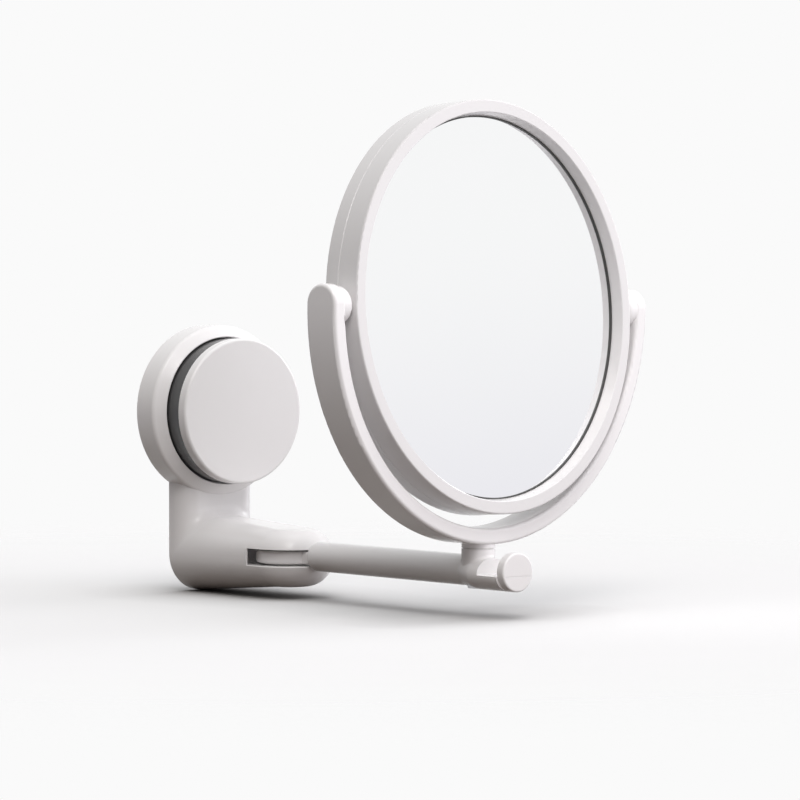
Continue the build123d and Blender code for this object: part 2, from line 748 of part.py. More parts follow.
# Yoke: a half ring with rounded ends, the bosses of the pivots, and the stem of the swivel
yoke_foot = mirror_rise - yoke_outer
with BuildPart() as yoke:
    with BuildSketch(yoke_plane.offset(-yoke_width / 2)):
        Circle(yoke_outer)
        Circle(yoke_inner, mode=Mode.SUBTRACT)
        with Locations((0, yoke_outer)):
            Rectangle(2 * yoke_outer, 2 * yoke_outer, mode=Mode.SUBTRACT)
    extrude(amount=yoke_width)
    for side in (1, -1):
        with BuildSketch(middle_plane.offset(side * yoke_inner)):
            with Locations((yoke_end_rise, 0)):
                Circle(yoke_width / 2)
            with Locations((yoke_end_rise / 2, 0)):
                Rectangle(yoke_end_rise, yoke_width)
            with Locations((-yoke_width / 2, 0)):
                Rectangle(yoke_width, yoke_width, mode=Mode.SUBTRACT)
        extrude(amount=side * yoke_thickness)
    fillet(yoke.edges().filter_by(GeomType.CIRCLE), yoke_edge)
    for side in (1, -1):
        with BuildSketch(middle_plane.offset(side * boss_face)):
            Circle(boss_radius)
        extrude(amount=side * (yoke_inner + yoke_edge - boss_face))
        boss_rim = yoke.edges().filter_by_position(
            pivot_axis, side * boss_face - running_gap, side * boss_face + running_gap
        )
        fillet(boss_rim, boss_edge)
    with BuildSketch(swivel_plane(stem_seat)):
        Circle(collar_radius)
    extrude(amount=yoke_foot + yoke_thickness / 2 - stem_seat)
    with BuildSketch(swivel_plane(spigot_end)):
        Circle(stem_spigot_radius)
    extrude(amount=stem_seat - spigot_end)
    with BuildSketch(swivel_plane(spigot_end)):
        Circle(retainer_screw_radius + running_gap)
    extrude(amount=retainer_screw_length, mode=Mode.SUBTRACT)
    for side in (1, -1):
        with BuildSketch(middle_plane.offset(side * boss_face)):
            Circle(pin_radius + running_gap)
        extrude(amount=side * (yoke_inner + pin_in_yoke - boss_face), mode=Mode.SUBTRACT)

# Tilt pivots: steel pins held in the yoke, bushes in the mirror's rim, and thin washers between
with BuildPart() as pivot_pins:
    with BuildSketch(middle_plane.offset(rim_bore + pin_end_gap)):
        Circle(pin_radius)
    extrude(amount=yoke_inner + pin_in_yoke - rim_bore - 2 * pin_end_gap)
    mirror(about=middle_plane)
with BuildPart() as pivot_bushes:
    with BuildSketch(middle_plane.offset(rim_bore + running_gap)):
        Circle(bush_radius)
        Circle(pin_radius + running_gap, mode=Mode.SUBTRACT)
    extrude(amount=rim_wall - 3 * running_gap)
    mirror(about=middle_plane)
with BuildPart() as tilt_washers:
    with BuildSketch(middle_plane.offset(rim_radius + running_gap)):
        Circle(tilt_washer_radius)
        Circle(pin_radius + running_gap, mode=Mode.SUBTRACT)
    extrude(amount=tilt_washer_thickness)
    mirror(about=middle_plane)

# Mirror head: two bezels that clamp the glasses, the board and the pivot bushes
rib_top = seam + seam_tongue_height
groove_wall = rim_bore + seam_tongue + assembly_gap
with BuildPart() as front_bezel:
    with BuildSketch(head_section):
        with BuildLine():
            Polyline(
                (lip_inner + lip_edge, rim_half_depth),
                (lip_inner, rim_half_depth - lip_edge),
                (glass_opening, glass_front + lip_undercut_height),
                (glass_opening + lip_undercut, glass_front + lip_undercut_height),
                (glass_opening + lip_undercut, glass_front),
                (rim_bore, glass_front),
                (rim_bore, rib_top + assembly_gap),
                (groove_wall, rib_top + assembly_gap),
                (groove_wall, seam),
                (rim_radius - seam_groove, seam),
                (rim_radius, seam + seam_groove),
                (rim_radius, rim_half_depth - rim_edge),
            )
            RadiusArc(
                (rim_radius, rim_half_depth - rim_edge), (rim_radius - rim_edge, rim_half_depth), -rim_edge
            )
            Line((rim_radius - rim_edge, rim_half_depth), (lip_inner + lip_edge, rim_half_depth))
        make_face()
    revolve(axis=head_axis)
    for side in (1, -1):
        with BuildSketch(middle_plane.offset(side * (rim_bore - soft_gap))):
            Circle(bush_radius + running_gap)
        extrude(amount=side * 2 * rim_wall, mode=Mode.SUBTRACT)
with BuildPart() as rear_bezel:
    with BuildSketch(head_section):
        with BuildLine():
            Polyline(
                (lip_inner + lip_edge, -rim_half_depth),
                (lip_inner, -rim_half_depth + lip_edge),
                (glass_opening, magnifier_edge),
                (rim_bore, magnifier_edge),
                (rim_bore, rib_top),
                (rim_bore + seam_tongue, rib_top),
                (rim_bore + seam_tongue, seam),
                (rim_radius - seam_groove, seam),
                (rim_radius, seam - seam_groove),
                (rim_radius, -rim_half_depth + rim_edge),
            )
            RadiusArc(
                (rim_radius, -rim_half_depth + rim_edge), (rim_radius - rim_edge, -rim_half_depth), rim_edge
            )
            Line((rim_radius - rim_edge, -rim_half_depth), (lip_inner + lip_edge, -rim_half_depth))
        make_face()
    revolve(axis=head_axis)
    for side in (1, -1):
        with BuildSketch(middle_plane.offset(side * (rim_bore - soft_gap))):
            Circle(bush_radius + running_gap)
        extrude(amount=side * 2 * rim_wall, mode=Mode.SUBTRACT)

# Plain glass in front, concave magnifying glass behind, with a board and a foam ring between
plain_glass = washer(head_section, head_axis, 0, glass_radius, glass_back, glass_thickness)
magnifier_curve = (glass_radius**2 + magnifier_sag**2) / (2 * magnifier_sag)
magnifier_middle = magnifier_edge + magnifier_sag


def magnifier_surface(radius):
    """Height of the concave side of the magnifying glass at a radius."""
    return magnifier_middle - magnifier_curve + sqrt(magnifier_curve**2 - radius**2)


with BuildPart() as magnifying_glass:
    with BuildSketch(head_section):
        with BuildLine():
            ThreePointArc(
                (0, magnifier_middle),
                (glass_radius / 2, magnifier_surface(glass_radius / 2)),
                (glass_radius, magnifier_edge),
            )
            Line((glass_radius, magnifier_edge), (glass_radius, magnifier_edge + glass_thickness))
            ThreePointArc(
                (glass_radius, magnifier_edge + glass_thickness),
                (glass_radius / 2, magnifier_surface(glass_radius / 2) + glass_thickness),
                (0, magnifier_middle + glass_thickness),
            )
            Line((0, magnifier_middle + glass_thickness), (0, magnifier_middle))
        make_face()
    revolve(axis=head_axis)
board_radius = glass_radius - board_inset
foam_inner = board_radius - foam_width
backing_board = washer(head_section, head_axis, 0, board_radius, board_back, board_thickness)
foam_ring = turned(head_section, head_axis, [
    (foam_inner, board_back),
    (board_radius, board_back),
    (board_radius, magnifier_surface(board_radius) + glass_thickness + running_gap),
    (foam_inner, magnifier_surface(foam_inner) + glass_thickness + running_gap),
])

pieces = {
    "suction_pad": suction_pad,
    "base_housing": base_housing,
    "back_cover": back_cover,
    "cover_screws": cover_screws,
    "wall_bumper": wall_bumper,
    "thrust_washer": thrust_washer,
    "knob_drum": knob_drum,
    "knob_cap": knob_cap,
    "knob_nut": knob_nut,
    "draw_stud": draw_stud,
    "stud_clip": stud_clip,
    "hinge_screw": hinge_screw,
    "hinge_insert": hinge_insert,
    "hinge_plug": hinge_plug,
    "hinge_washers": hinge_washers,
    "arm_tongue": arm_tongue,
    "arm_tube": arm_tube,
    "arm_end_fitting": arm_end_fitting,
    "hook_end_disc": hook_end_disc,
    "swivel_washer": swivel_washer,
    "retainer_washer": retainer_washer,
    "retainer_screw": retainer_screw,
    "yoke": yoke,
    "pivot_pins": pivot_pins,
    "pivot_bushes": pivot_bushes,
    "tilt_washers": tilt_washers,
    "front_bezel": front_bezel,
    "rear_bezel": rear_bezel,
    "plain_glass": plain_glass,
    "magnifying_glass": magnifying_glass,
    "backing_board": backing_board,
    "foam_ring": foam_ring,
}
for name, piece in pieces.items():
    piece.part.label = name
    export_step(piece.part, f"parts/{name}.step")
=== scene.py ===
import json
import math

import bpy
from mathutils import Matrix, Vector


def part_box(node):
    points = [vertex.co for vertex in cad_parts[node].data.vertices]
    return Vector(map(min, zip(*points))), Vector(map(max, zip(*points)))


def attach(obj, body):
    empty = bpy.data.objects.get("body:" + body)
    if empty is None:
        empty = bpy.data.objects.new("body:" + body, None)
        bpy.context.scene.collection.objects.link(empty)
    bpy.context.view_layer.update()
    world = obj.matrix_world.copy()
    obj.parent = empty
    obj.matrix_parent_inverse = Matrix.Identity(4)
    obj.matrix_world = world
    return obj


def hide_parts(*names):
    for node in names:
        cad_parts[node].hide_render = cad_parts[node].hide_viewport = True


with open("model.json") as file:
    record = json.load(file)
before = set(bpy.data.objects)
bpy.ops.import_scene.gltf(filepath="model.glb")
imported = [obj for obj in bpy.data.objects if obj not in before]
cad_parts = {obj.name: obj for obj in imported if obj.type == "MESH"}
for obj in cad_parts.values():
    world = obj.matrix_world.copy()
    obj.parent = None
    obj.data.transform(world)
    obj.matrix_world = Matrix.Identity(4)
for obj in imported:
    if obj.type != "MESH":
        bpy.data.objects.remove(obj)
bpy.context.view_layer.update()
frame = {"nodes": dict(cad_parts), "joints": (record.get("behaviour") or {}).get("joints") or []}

# All lengths are metres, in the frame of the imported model: the wall is the plane Y = 0 and the
# mirror stands out from it towards -Y.
mm = 0.001
photo_side = 800
# The photograph's white background, as a linear level
white_level = 0.956

nodes = frame["nodes"]
joints = {joint["name"]: joint for joint in frame["joints"]}
floor_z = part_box("base_housing")[0].z

# Camera, fitted to the photograph. Its angles are degrees, as those of the light are.
camera_azimuth = -39.27
camera_elevation = 2.1
camera_target = Vector((0.01805, -0.11442, 0.00697))
camera_distance = 1.9
focal_pixels = 4466.9
sensor_width = 36.0

# Studio light: the azimuth, elevation, sharpness and colour of each soft patch of the world
softboxes = [
    (21, 10, 8.0, (1.95, 1.85, 1.93)),
    (81, 14, 25.0, (5.6, 5.6, 5.7)),
    (141, 10, 8.0, (0.5, 0.48, 0.5)),
    (-39, 48, 8.0, (1.7, 1.64, 1.61)),
    (-39, 48, 40.0, (5.2, 5.05, 5.0)),
    (33, 48, 8.0, (0.9, 0.95, 1.0)),
    (177, 48, 8.0, (0.8, 0.82, 0.82)),
    (0, 90, 25.0, (2.5, 2.5, 2.5)),
    (51, -25, 8.0, (1.6, 1.58, 1.6)),
    (171, -25, 8.0, (1.2, 1.2, 1.2)),
]
# White background as the mirror shows it: where, how far round, and its shade at the horizon
card_place = (56.5, 3.4)
card_sharpness = 8.0
card_edge = (0.3, 0.6)
card_shade = (0.82, 0.81, 0.86, 1.0)
haze_height = 0.1

# The floor as the camera and reflections see it, as it lights the undersides, and its painted shadow
# near the object
floor_white = (0.79, 0.79, 0.79, 1.0)
# Painted shadow: the floor's colour goes down to the next colour where ambient occlusion, reaching
# as far as the distance after it, finds the object
floor_painted_shadow = (0.14, 0.136, 0.132, 1.0)
painted_shadow_distance = 50 * mm
floor_bounce = (0.15, 0.125, 0.11, 1.0)
floor_half = 4.0
floor_middle_y = -0.08
floor_fade = (0.2, 0.55)

# Shapes made here
glass_thickness = 2 * mm
glass_opening = 78.65 * mm
# A dark ring under the rim's lip, a painted shadow of the gap beside the plain glass: its width,
# height, inset and lift
shadow_ring_width = 0.5 * mm
shadow_ring_height = 0.6 * mm
shadow_ring_inset = 0.3 * mm
shadow_ring_lift = 0.01 * mm
thread_pitch = 0.9 * mm
cover_shank_radius = 1.25 * mm
cover_thread_radius = 1.24 * mm
cover_head_height = 1.6 * mm
cover_recess_width = 0.7 * mm
retainer_thread_radius = 1.49 * mm
retainer_head_height = 2.7 * mm
retainer_face_inset = 0.5 * mm
retainer_recess_width = 1.0 * mm
# Shares of a screw's thread radius, recess width, head height and pitch
core_share = 0.78
ridge_share = 0.2
recess_reach = 3.4
recess_depth = 1.5
thread_lead = 0.6
# How fine the round shapes are, and the angle from which an edge is sharp
head_facets = 96
core_facets = 64
thread_steps = 28
ridge_facets = 4
glass_facets = 192
glass_rings = 48
shadow_ring_steps = 256
sharp_angle = math.radians(30.0)


def add(tree, kind, inputs=None, **settings):
    """A new node in the tree. Each input is a value, or the output socket that feeds it."""
    node = tree.nodes.new(kind)
    for name, value in settings.items():
        setattr(node, name, value)
    for name, value in (inputs or {}).items():
        socket = node.inputs[name]
        if isinstance(value, bpy.types.NodeSocket):
            tree.links.new(value, socket)
        else:
            socket.default_value = value
    return node


def grey(level):
    """The opaque grey of this level."""
    return (level, level, level, 1.0)


def maths(tree, operation, *values):
    """The output of a Math node. Each value is a number or the output that feeds it."""
    return add(tree, "ShaderNodeMath", dict(enumerate(values)), operation=operation).outputs[0]


def vectors(tree, operation, *values):
    """A Vector Math node with its first inputs filled."""
    return add(tree, "ShaderNodeVectorMath", dict(enumerate(values)), operation=operation)


def blend_colour(tree, factor, first, second):
    """The output that goes from the first colour to the second as factor goes from 0 to 1."""
    mixer = add(tree, "ShaderNodeMix", {0: factor, 6: first, 7: second}, data_type="RGBA")
    return mixer.outputs[2]


def grain(tree, coordinates, size, detail=2.0, roughness=0.5):
    """Noise whose lumps are about size metres wide, from 0 to 1."""
    noise = add(
        tree,
        "ShaderNodeTexNoise",
        {"Vector": coordinates, "Scale": 1.0 / size, "Detail": detail, "Roughness": roughness},
    )
    return noise.outputs["Fac"]


def spread(tree, value, low, high):
    """A 0 to 1 value stretched to the range from low to high."""
    ranged = add(tree, "ShaderNodeMapRange", {"Value": value, "To Min": low, "To Max": high})
    return ranged.outputs["Result"]


def ramp(tree, value, edges, **settings):
    """The output that goes from 0 to 1 as value goes from the first edge to the second."""
    limits = {"Value": value, "From Min": edges[0], "From Max": edges[1]}
    return add(tree, "ShaderNodeMapRange", limits, **settings).outputs["Result"]


def start_finish(name):
    """A new material: its tree, its shader and its object coordinates."""
    material = bpy.data.materials.new(name)
    material.use_nodes = True
    tree = material.node_tree
    shader = tree.nodes["Principled BSDF"]
    coordinates = add(tree, "ShaderNodeTexCoord").outputs["Object"]
    return material, tree, shader, coordinates


def bump(tree, shader, height, distance):
    """A relief of height, as deep as distance, on the shader's surface."""
    relief = add(tree, "ShaderNodeBump", {"Height": height, "Distance": distance})
    tree.links.new(relief.outputs["Normal"], shader.inputs["Normal"])
    return relief


def moulded_plastic(name, colour, shade, rough, grain_size=0.35 * mm, grain_depth=0.004 * mm):
    """Injection-moulded plastic: faint flow marks in the colour, a satin skin and a fine grain."""
    material, tree, shader, place = start_finish(name)
    flow = grain(tree, place, 28 * mm, detail=3.0)
    tree.links.new(blend_colour(tree, flow, shade, colour), shader.inputs["Base Color"])
    patches = grain(tree, place, 9 * mm, detail=4.0)
    tree.links.new(spread(tree, patches, rough - 0.04, rough + 0.05), shader.inputs["Roughness"])
    bump(tree, shader, grain(tree, place, grain_size), grain_depth)
    shader.inputs["IOR"].default_value = 1.5
    return material


def silvered_glass(name):
    """Mirror glass, seen as its silvering with the faint green-blue of the glass over it."""
    material, tree, shader, place = start_finish(name)
    haze = grain(tree, place, 35 * mm, detail=2.0)
    tint = blend_colour(tree, haze, (0.955, 0.962, 0.965, 1.0), (0.965, 0.968, 0.972, 1.0))
    tree.links.new(tint, shader.inputs["Base Color"])
    tree.links.new(spread(tree, haze, 0.0, 0.02), shader.inputs["Roughness"])
    shader.inputs["Metallic"].default_value = 1.0
    return material


def turned_metal(name, colour, shade, rough):
    """Turned and plated metal: fine tool marks, and spots where the plating is duller."""
    material, tree, shader, place = start_finish(name)
    spots = grain(tree, place, 1.2 * mm, detail=4.0)
    tree.links.new(blend_colour(tree, spots, shade, colour), shader.inputs["Base Color"])
    tree.links.new(spread(tree, spots, rough - 0.06, rough + 0.1), shader.inputs["Roughness"])
    bump(tree, shader, grain(tree, place, 0.12 * mm), 0.003 * mm)
    shader.inputs["Metallic"].default_value = 1.0
    return material


def soft_rubber(
    name, colour, shade, rough, grain_size, grain_depth, ring_pitch=None, ring_depth=0.12 * mm
):
    """
    Moulded rubber or soft vinyl, with the bloom and the grain of its mould. With a ring_pitch it
    has fine rings round the knob's axis, as a suction pad has.
    """
    material, tree, shader, place = start_finish(name)
    bloom = grain(tree, place, 6 * mm, detail=5.0)
    tree.links.new(blend_colour(tree, bloom, shade, colour), shader.inputs["Base Color"])
    tree.links.new(spread(tree, bloom, rough - 0.08, rough + 0.08), shader.inputs["Roughness"])
    relief = bump(tree, shader, grain(tree, place, grain_size, detail=3.0), grain_depth)
    if ring_pitch:
        flat = vectors(tree, "MULTIPLY", place, (1.0, 0.0, 1.0)).outputs[0]
        radius = vectors(tree, "LENGTH", flat).outputs["Value"]
        wave = maths(tree, "SINE", maths(tree, "MULTIPLY", radius, 2 * math.pi / ring_pitch))
        rings = add(tree, "ShaderNodeBump", {"Height": wave, "Distance": ring_depth})
        tree.links.new(rings.outputs["Normal"], relief.inputs["Normal"])
    return material


def pressed_board(name):
    """Grey hardboard with its pressed fibres."""
    material, tree, shader, place = start_finish(name)
    fibres = grain(tree, place, 0.8 * mm, detail=6.0, roughness=0.7)
    tint = blend_colour(tree, fibres, (0.09, 0.075, 0.06, 1.0), (0.2, 0.17, 0.135, 1.0))
    tree.links.new(tint, shader.inputs["Base Color"])
    tree.links.new(spread(tree, fibres, 0.7, 0.9), shader.inputs["Roughness"])
    bump(tree, shader, fibres, 0.05 * mm)
    return material


def closed_cell_foam(name):
    """Foam strip with its cut cells."""
    material, tree, shader, place = start_finish(name)
    cells = add(tree, "ShaderNodeTexVoronoi", {"Vector": place, "Scale": 1.0 / (0.6 * mm)})
    size = cells.outputs["Distance"]
    tint = blend_colour(tree, size, (0.11, 0.11, 0.115, 1.0), (0.2, 0.2, 0.205, 1.0))
    tree.links.new(tint, shader.inputs["Base Color"])
    tree.links.new(spread(tree, size, 0.8, 0.95), shader.inputs["Roughness"])
    bump(tree, shader, size, 0.2 * mm)
    return material


finishes = {
    "white_shell": moulded_plastic(
        "white_shell", (0.85, 0.838, 0.838, 1.0), (0.83, 0.818, 0.818, 1.0), 0.17
    ),
    "dark_shell": moulded_plastic(
        "dark_shell",
        (0.046, 0.046, 0.047, 1.0),
        (0.04, 0.04, 0.041, 1.0),
        0.2,
        grain_depth=0.001 * mm,
    ),
    # Painted shade: a darker copy of the white plastic, so that the bezels show the strong light
    # that falls on them less brightly
    "rim_shaded_white": moulded_plastic(
        "rim_shaded_white", (0.735, 0.725, 0.725, 1.0), (0.71, 0.70, 0.70, 1.0), 0.17
    ),
    "mirror_glass": silvered_glass("mirror_glass"),
    "steel": turned_metal("steel", (0.62, 0.62, 0.63, 1.0), (0.52, 0.52, 0.54, 1.0), 0.28),
    "brass": turned_metal("brass", (0.78, 0.57, 0.27, 1.0), (0.66, 0.47, 0.22, 1.0), 0.3),
    "pad_rubber": soft_rubber(
        "pad_rubber",
        (0.36, 0.37, 0.38, 1.0),
        (0.31, 0.32, 0.33, 1.0),
        0.35,
        0.5 * mm,
        0.006 * mm,
        ring_pitch=3.2 * mm,
    ),
    "grey_rubber": soft_rubber(
        "grey_rubber", (0.11, 0.11, 0.115, 1.0), (0.08, 0.08, 0.085, 1.0), 0.6, 0.4 * mm, 0.02 * mm
    ),
    # Painted shadow: the near-black colour of the ring under the rim's lip
    "shadow_ring_dark": soft_rubber(
        "shadow_ring_dark",
        (0.05, 0.05, 0.047, 1.0),
        (0.035, 0.035, 0.033, 1.0),
        0.55,
        0.3 * mm,
        0.01 * mm,
    ),
    "slip_plastic": moulded_plastic(
        "slip_plastic", (0.72, 0.72, 0.69, 1.0), (0.68, 0.68, 0.65, 1.0), 0.42
    ),
    "board": pressed_board("board"),
    "foam": closed_cell_foam("foam"),
}


def dress_nodes():
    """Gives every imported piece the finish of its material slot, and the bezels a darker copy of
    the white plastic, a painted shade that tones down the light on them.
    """
    for name, node in nodes.items():
        for slot in node.material_slots:
            slot.material = finishes[slot.material.name.split(".")[0]]
            if name in ("front_bezel", "rear_bezel"):
                slot.material = finishes["rim_shaded_white"]


def towards(azimuth, elevation):
    """The unit vector of an azimuth, in degrees from -Y towards +X, and an elevation."""
    azimuth, elevation = math.radians(azimuth), math.radians(elevation)
    return Vector(
        (
            math.sin(azimuth) * math.cos(elevation),
            -math.cos(azimuth) * math.cos(elevation),
            math.sin(elevation),
        )
    )


def make_camera():
    """The photograph's camera."""
    direction = -towards(camera_azimuth, camera_elevation)
    right = direction.cross(Vector((0, 0, 1))).normalized()
    up = right.cross(direction)
    place = Matrix((right, up, -direction)).transposed().to_4x4()
    place.translation = camera_target - camera_distance * direction
    data = bpy.data.cameras.new("photo_camera")
    data.sensor_fit = "HORIZONTAL"
    data.sensor_width = sensor_width
    data.lens = focal_pixels / photo_side * sensor_width
    data.clip_start = 0.05
    data.clip_end = 30.0
    camera = bpy.data.objects.new("photo_camera", data)
    camera.matrix_world = place
    bpy.context.scene.collection.objects.link(camera)
    bpy.context.scene.camera = camera


def seen_directly(tree):
    """1 for camera, glossy and transmission rays, which see the white background, else 0."""
    path = add(tree, "ShaderNodeLightPath")
    either = maths(tree, "MAXIMUM", path.outputs["Is Camera Ray"], path.outputs["Is Glossy Ray"])
    return maths(tree, "MAXIMUM", either, path.outputs["Is Transmission Ray"])


def lobe(tree, direction, centre, sharpness):
    """1 in the direction of centre, and soft all round it."""
    cosine = vectors(tree, "DOT_PRODUCT", direction, centre).outputs["Value"]
    return maths(tree, "EXPONENT", maths(tree, "MULTIPLY_ADD", cosine, sharpness, -sharpness))


def make_world():
    """Soft studio light from several sides, behind a plain white background."""
    world = bpy.data.worlds.new("studio")
    bpy.context.scene.world = world
    world.use_nodes = True
    tree = world.node_tree
    direction = add(tree, "ShaderNodeTexCoord").outputs["Generated"]
    light = None
    for azimuth, elevation, sharpness, colour in softboxes:
        strength = lobe(tree, direction, towards(azimuth, elevation), sharpness)
        part = add(tree, "ShaderNodeVectorMath", {0: colour, "Scale": strength}, operation="SCALE")
        part = part.outputs[0]
        light = vectors(tree, "ADD", light, part).outputs[0] if light else part
    card = lobe(tree, direction, towards(*card_place), card_sharpness)
    shown = ramp(tree, card, card_edge)
    height = add(tree, "ShaderNodeSeparateXYZ", {0: direction}).outputs["Z"]
    haze = ramp(tree, height, (0.0, haze_height), interpolation_type="SMOOTHSTEP")
    white_card = blend_colour(tree, haze, card_shade, grey(white_level))
    # Reflections show the white background, and the soft patches that are brighter than it
    gloss = vectors(tree, "MAXIMUM", light, white_card).outputs[0]
    gloss = blend_colour(tree, shown, gloss, white_card)
    path = add(tree, "ShaderNodeLightPath")
    background = blend_colour(tree, path.outputs["Is Glossy Ray"], grey(white_level), gloss)
    colour = blend_colour(tree, seen_directly(tree), light, background)
    shader = tree.nodes["Background"]
    tree.links.new(colour, shader.inputs["Color"])
    shader.inputs["Strength"].default_value = 1.0


def make_floor():
    """A white floor with a painted shadow, darker by ambient occlusion close to the object, that
    fades into the background.
    """
    mesh = bpy.data.meshes.new("floor")
    sides = ((-1, -1), (1, -1), (1, 1), (-1, 1))
    corners = [(x * floor_half, y * floor_half, floor_z) for x, y in sides]
    mesh.from_pydata(corners, [], [(0, 1, 2, 3)])
    material = bpy.data.materials.new("floor_white")
    material.use_nodes = True
    tree = material.node_tree
    tree.nodes.clear()
    place = add(tree, "ShaderNodeTexCoord").outputs["Object"]
    centred = vectors(tree, "ADD", place, (0.0, -floor_middle_y, -floor_z)).outputs[0]
    distance = vectors(tree, "LENGTH", centred).outputs["Value"]
    fade = ramp(tree, distance, floor_fade, interpolation_type="SMOOTHSTEP")
    # Painted shadow: ambient occlusion darkens the floor's white where the object is near
    painted_shadow_mask = add(
        tree, "ShaderNodeAmbientOcclusion", {"Distance": painted_shadow_distance}, samples=8
    ).outputs["AO"]
    white = blend_colour(tree, painted_shadow_mask, floor_painted_shadow, floor_white)
    colour = blend_colour(tree, seen_directly(tree), floor_bounce, white)
    near = add(tree, "ShaderNodeBsdfDiffuse", {"Color": colour}).outputs[0]
    clear = add(tree, "ShaderNodeBsdfTransparent").outputs[0]
    mixed = add(tree, "ShaderNodeMixShader", {0: fade, 1: near, 2: clear}).outputs[0]
    add(tree, "ShaderNodeOutputMaterial", {"Surface": mixed})
    mesh.materials.append(material)
    floor = bpy.data.objects.new("floor", mesh)
    bpy.context.scene.collection.objects.link(floor)


def new_tree(name, sizes):
    """A Geometry Nodes tree with a named input for each size and for the material."""
    tree = bpy.data.node_groups.new(name, "GeometryNodeTree")
    for size in sizes:
        tree.interface.new_socket(size, in_out="INPUT", socket_type="NodeSocketFloat")
    tree.interface.new_socket("Material", in_out="INPUT", socket_type="NodeSocketMaterial")
    tree.interface.new_socket("Geometry", in_out="OUTPUT", socket_type="NodeSocketGeometry")
    return tree, tree.nodes.new("NodeGroupInput").outputs


def close_tree(tree, sizes, geometry):
    """Ends the tree: real instances, in the material of its input."""
    plain = add(tree, "GeometryNodeRealizeInstances", {"Geometry": geometry}).outputs[0]
    dressed = add(
        tree, "GeometryNodeSetMaterial", {"Geometry": plain, "Material": sizes["Material"]}
    )
    add(tree, "NodeGroupOutput", {"Geometry": dressed.outputs[0]})


def point(tree, x=0.0, y=0.0, z=0.0):
    """A vector from three numbers or outputs."""
    return add(tree, "ShaderNodeCombineXYZ", {"X": x, "Y": y, "Z": z}).outputs[0]


def moved(tree, geometry, height):
    """The geometry moved up by height."""
    lift = point(tree, z=height)
    return add(
        tree, "GeometryNodeTransform", {"Geometry": geometry, "Translation": lift}
    ).outputs[0]


def make_piece(name, tree, material, sizes, place):
    """The tree's mesh for these sizes as a plain object, turned and moved by place."""
    maker = bpy.data.objects.new(name, bpy.data.meshes.new(name))
    bpy.context.scene.collection.objects.link(maker)
    modifier = maker.modifiers.new("nodes", "NODES")
    modifier.node_group = tree
    for item in tree.interface.items_tree:
        if item.in_out == "INPUT":
            modifier[item.identifier] = material if item.name == "Material" else sizes[item.name]
    bpy.context.view_layer.update()
    evaluated = maker.evaluated_get(bpy.context.evaluated_depsgraph_get())
    mesh = bpy.data.meshes.new_from_object(evaluated)
    maker.modifiers.remove(modifier)
    maker.data = mesh
    mesh.name = name
    mesh.transform(place)
    mesh.materials.clear()
    mesh.materials.append(material)
    for face in mesh.polygons:
        face.use_smooth = True
        face.material_index = 0
    mesh.set_sharp_from_angle(angle=sharp_angle)
    return maker


